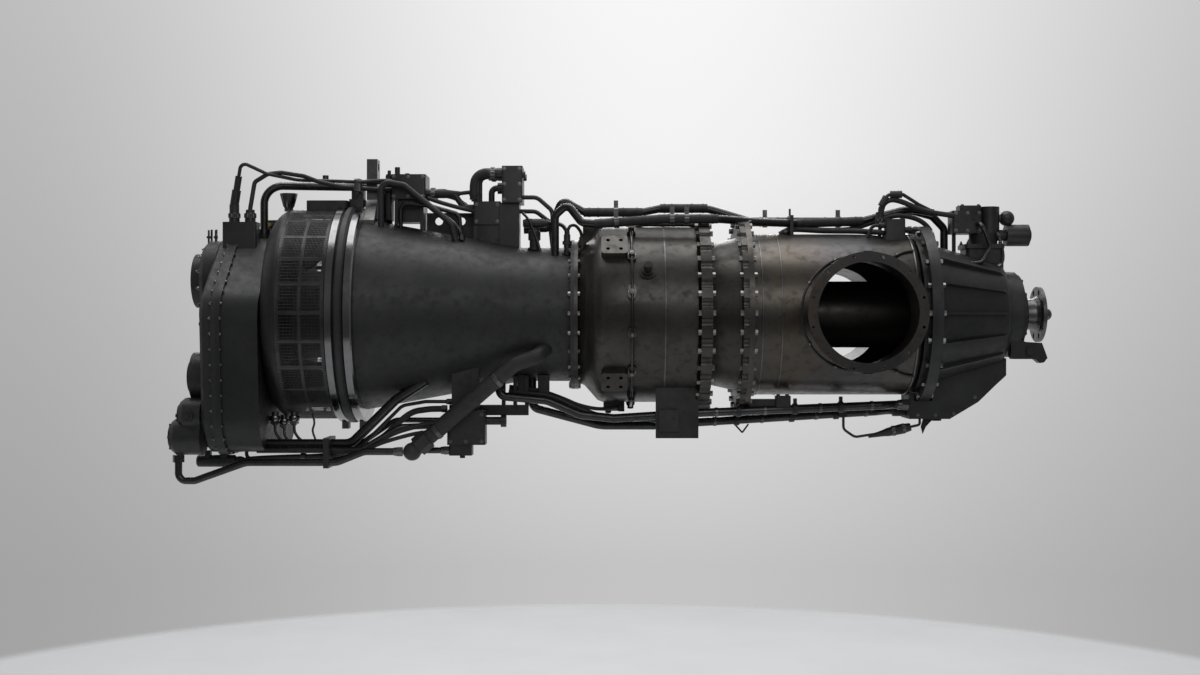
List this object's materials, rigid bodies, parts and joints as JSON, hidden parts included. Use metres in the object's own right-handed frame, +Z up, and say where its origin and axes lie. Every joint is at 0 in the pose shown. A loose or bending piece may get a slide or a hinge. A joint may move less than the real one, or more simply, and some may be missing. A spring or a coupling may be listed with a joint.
{
  "type": "turboprop engine",
  "caption": "Reverse-flow turboprop engine with a two-stage planetary reduction gearbox, twin side exhaust ports, a screened rear inlet and an accessory gearbox at the back.",
  "frame": {"origin": "centre of the propeller flange's front face, on the shaft's centre line", "axes": "+X forward out of the propeller flange, +Y to the engine's left, +Z up"},
  "size_m": [1.982, 0.59, 0.731],
  "materials": {
    "gearbox_casting": "satin sealed casting",
    "case_steel": "heat-tinted sheet",
    "polished_ring": "polished",
    "flange_steel": "machined",
    "gear_steel": "ground",
    "turbine_alloy": "cast alloy",
    "seal_black": "black moulded",
    "hose_black": "fire sleeve",
    "tube_steel": "drawn tube",
    "screen_wire": "wire cloth",
    "box_black": "black anodised",
    "pump_metal": "bead-blasted",
    "cap_metal": "gold anodised",
    "harness": "braided cable",
    "bolt_steel": "plated"
  },
  "bodies": {
    "engine": {"accessory_gearbox_cover": "gearbox_casting", "accessory_gearbox_housing": "gearbox_casting", "bearing_races": "gear_steel", "bleed_air_hose": "hose_black", "bleed_valve_body": "pump_metal", "breather_pipe": "tube_steel", "combustion_liner": "turbine_alloy", "compressor_case": "gearbox_casting", "compressor_stators": "case_steel", "control_unit": "box_black", "exciter_box": "box_black", "exhaust_duct": "case_steel", "flange_bolts": "bolt_steel", "front_sensor_bracket": "pump_metal", "fuel_control_unit": "pump_metal", "fuel_manifold": "tube_steel", "fuel_pump": "pump_metal", "gas_generator_case": "case_steel", "gearbox_front_housing": "gearbox_casting", "gearbox_rear_housing": "gearbox_casting", "gearbox_sump": "gearbox_casting", "inlet_case": "gearbox_casting", "inlet_clamp_rings": "polished_ring", "inlet_screen": "screen_wire", "inlet_screen_frame": "flange_steel", "inlet_seal_ring": "seal_black", "lifting_bracket": "flange_steel", "oil_tank": "gearbox_casting", "pipe_brackets": "flange_steel", "power_turbine_housing": "case_steel", "propeller_governor": "pump_metal", "rigid_tubes": "tube_steel", "ring_gears": "gear_steel", "shaft_housing": "case_steel", "speed_sensor_block": "box_black", "thrust_bearing_cover": "gearbox_casting", "top_conduits": "tube_steel", "turbine_vanes": "turbine_alloy", "wiring_harness": "harness"},
    "propeller": {"propeller_shaft": "gear_steel", "second_stage_carrier": "gear_steel"},
    "second_planet_1": {"second_stage_planet_1": "gear_steel"},
    "second_planet_2": {"second_stage_planet_2": "gear_steel"},
    "second_planet_3": {"second_stage_planet_3": "gear_steel"},
    "second_planet_4": {"second_stage_planet_4": "gear_steel"},
    "second_planet_5": {"second_stage_planet_5": "gear_steel"},
    "first_carrier": {"first_stage_carrier": "gear_steel"},
    "first_planet_1": {"first_stage_planet_1": "gear_steel"},
    "first_planet_2": {"first_stage_planet_2": "gear_steel"},
    "first_planet_3": {"first_stage_planet_3": "gear_steel"},
    "power_turbine": {"power_turbine": "turbine_alloy"},
    "gas_rotor": {"gas_generator_shaft": "gear_steel", "compressor_turbine": "turbine_alloy", "compressor_rotor": "gear_steel"},
    "starter_drive": {"starter_drive_gear": "gear_steel"},
    "idler": {"idler_gear": "gear_steel"},
    "pump_drive": {"fuel_pump_gear": "gear_steel"},
    "bleed_piston": {"bleed_valve_piston": "gear_steel"},
    "filler_cap": {"oil_filler_cap": "cap_metal"},
    "cap_lever": {"filler_cap_lever": "cap_metal"}
  },
  "joints": [
    {"name": "power_turbine_spin", "type": "hinge", "parent": "engine", "child": "power_turbine", "pos_m": [0, 0, 0], "axis": [1, 0, 0], "continuous": true},
    {"name": "gas_rotor_spin", "type": "hinge", "parent": "engine", "child": "gas_rotor", "pos_m": [0, 0, 0], "axis": [1, 0, 0], "continuous": true},
    {"name": "first_carrier_spin", "type": "hinge", "parent": "engine", "child": "first_carrier", "pos_m": [0, 0, 0], "axis": [1, 0, 0], "continuous": true},
    {"name": "propeller_spin", "type": "hinge", "parent": "engine", "child": "propeller", "pos_m": [0, 0, 0], "axis": [1, 0, 0], "continuous": true},
    {"name": "first_planet_1_spin", "type": "hinge", "parent": "first_carrier", "child": "first_planet_1", "pos_m": [0, 0.0663, 0], "axis": [1, 0, 0], "continuous": true},
    {"name": "first_planet_2_spin", "type": "hinge", "parent": "first_carrier", "child": "first_planet_2", "pos_m": [0, -0.03315, 0.05742], "axis": [1, 0, 0], "continuous": true},
    {"name": "first_planet_3_spin", "type": "hinge", "parent": "first_carrier", "child": "first_planet_3", "pos_m": [0, -0.03315, -0.05742], "axis": [1, 0, 0], "continuous": true},
    {"name": "second_planet_1_spin", "type": "hinge", "parent": "propeller", "child": "second_planet_1", "pos_m": [0, 0.08, 0], "axis": [1, 0, 0], "continuous": true},
    {"name": "second_planet_2_spin", "type": "hinge", "parent": "propeller", "child": "second_planet_2", "pos_m": [0, 0.02472, 0.07608], "axis": [1, 0, 0], "continuous": true},
    {"name": "second_planet_3_spin", "type": "hinge", "parent": "propeller", "child": "second_planet_3", "pos_m": [0, -0.06472, 0.04702], "axis": [1, 0, 0], "continuous": true},
    {"name": "second_planet_4_spin", "type": "hinge", "parent": "propeller", "child": "second_planet_4", "pos_m": [0, -0.06472, -0.04702], "axis": [1, 0, 0], "continuous": true},
    {"name": "second_planet_5_spin", "type": "hinge", "parent": "propeller", "child": "second_planet_5", "pos_m": [0, 0.02472, -0.07608], "axis": [1, 0, 0], "continuous": true},
    {"name": "starter_drive_spin", "type": "hinge", "parent": "engine", "child": "starter_drive", "pos_m": [0, 0, 0.077], "axis": [1, 0, 0], "continuous": true},
    {"name": "idler_spin", "type": "hinge", "parent": "engine", "child": "idler", "pos_m": [0, -0.0431, -0.05516], "axis": [1, 0, 0], "continuous": true},
    {"name": "fuel_pump_drive_spin", "type": "hinge", "parent": "engine", "child": "pump_drive", "pos_m": [0, -0.1099, -0.14066], "axis": [1, 0, 0], "continuous": true},
    {"name": "bleed_piston_slide", "type": "slide", "parent": "engine", "child": "bleed_piston", "axis": [0, 1, 0], "range_m": [0, 0.012]},
    {"name": "oil_filler_cap_lift", "type": "slide", "parent": "engine", "child": "filler_cap", "axis": [0, 0, 1], "range_m": [0, 0.24]},
    {"name": "cap_lever_fold", "type": "hinge", "parent": "filler_cap", "child": "cap_lever", "pos_m": [-1.794, 0.045, 0.217], "axis": [0, -1, 0], "range_deg": [0, 90]}
  ],
  "couplings": [
    {"joint": "first_carrier_spin", "follows": "power_turbine_spin", "ratio": 0.17647},
    {"joint": "propeller_spin", "follows": "power_turbine_spin", "ratio": 0.056471},
    {"joint": "first_planet_1_spin", "follows": "power_turbine_spin", "ratio": -0.4492},
    {"joint": "first_planet_2_spin", "follows": "power_turbine_spin", "ratio": -0.4492},
    {"joint": "first_planet_3_spin", "follows": "power_turbine_spin", "ratio": -0.4492},
    {"joint": "second_planet_1_spin", "follows": "power_turbine_spin", "ratio": -0.21333},
    {"joint": "second_planet_2_spin", "follows": "power_turbine_spin", "ratio": -0.21333},
    {"joint": "second_planet_3_spin", "follows": "power_turbine_spin", "ratio": -0.21333},
    {"joint": "second_planet_4_spin", "follows": "power_turbine_spin", "ratio": -0.21333},
    {"joint": "second_planet_5_spin", "follows": "power_turbine_spin", "ratio": -0.21333},
    {"joint": "starter_drive_spin", "follows": "gas_rotor_spin", "ratio": -0.29412},
    {"joint": "idler_spin", "follows": "gas_rotor_spin", "ratio": -0.33333},
    {"joint": "fuel_pump_drive_spin", "follows": "gas_rotor_spin", "ratio": 0.3125}
  ]
}
